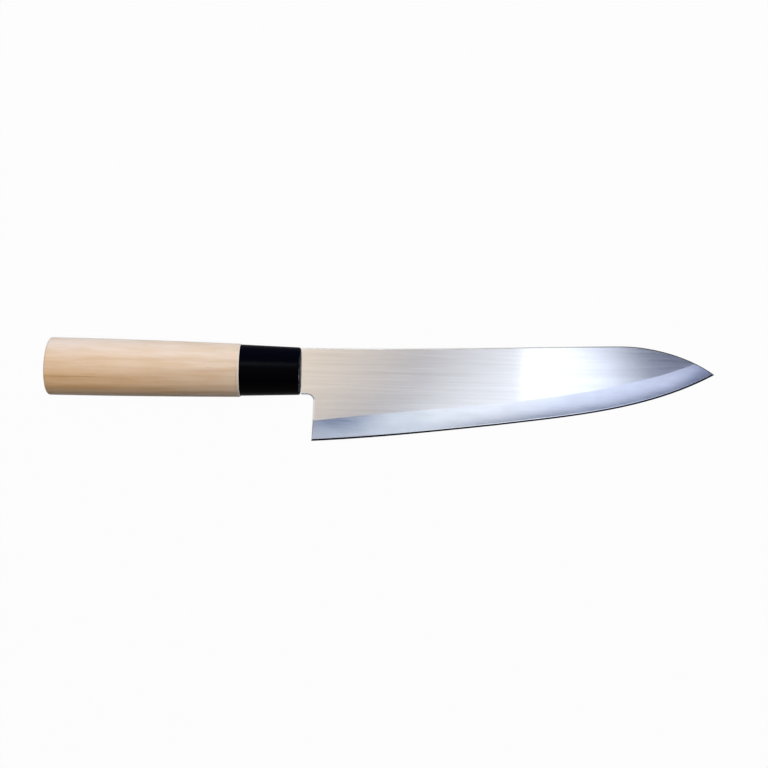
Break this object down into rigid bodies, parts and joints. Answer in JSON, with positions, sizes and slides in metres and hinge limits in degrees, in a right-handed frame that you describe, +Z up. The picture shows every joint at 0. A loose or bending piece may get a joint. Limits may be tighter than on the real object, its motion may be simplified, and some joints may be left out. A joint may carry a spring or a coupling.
{
  "type": "chef's knife",
  "caption": "Japanese chef's knife with a wide bevelled steel blade, a hidden tang, a black collar and an oval wooden handle, for slicing and chopping food.",
  "frame": {"origin": "on the table under the centre of the knife's box, as the knife lies at rest on its left side", "axes": "+X along the knife towards the tip, +Y towards the spine, +Z up from the table, out of the right face"},
  "size_m": [0.3378, 0.0522, 0.025],
  "materials": {
    "blade_steel": "satin, brushed along the blade, with a brighter ground bevel",
    "collar_plastic": "black, moulded, semi-gloss",
    "handle_wood": "pale, straight-grained, sanded and unvarnished",
    "resin": "dark cast resin"
  },
  "bodies": {
    "root": {"blade": "blade_steel", "collar": "collar_plastic", "handle": "handle_wood", "tang_resin": "resin"}
  },
  "joints": []
}
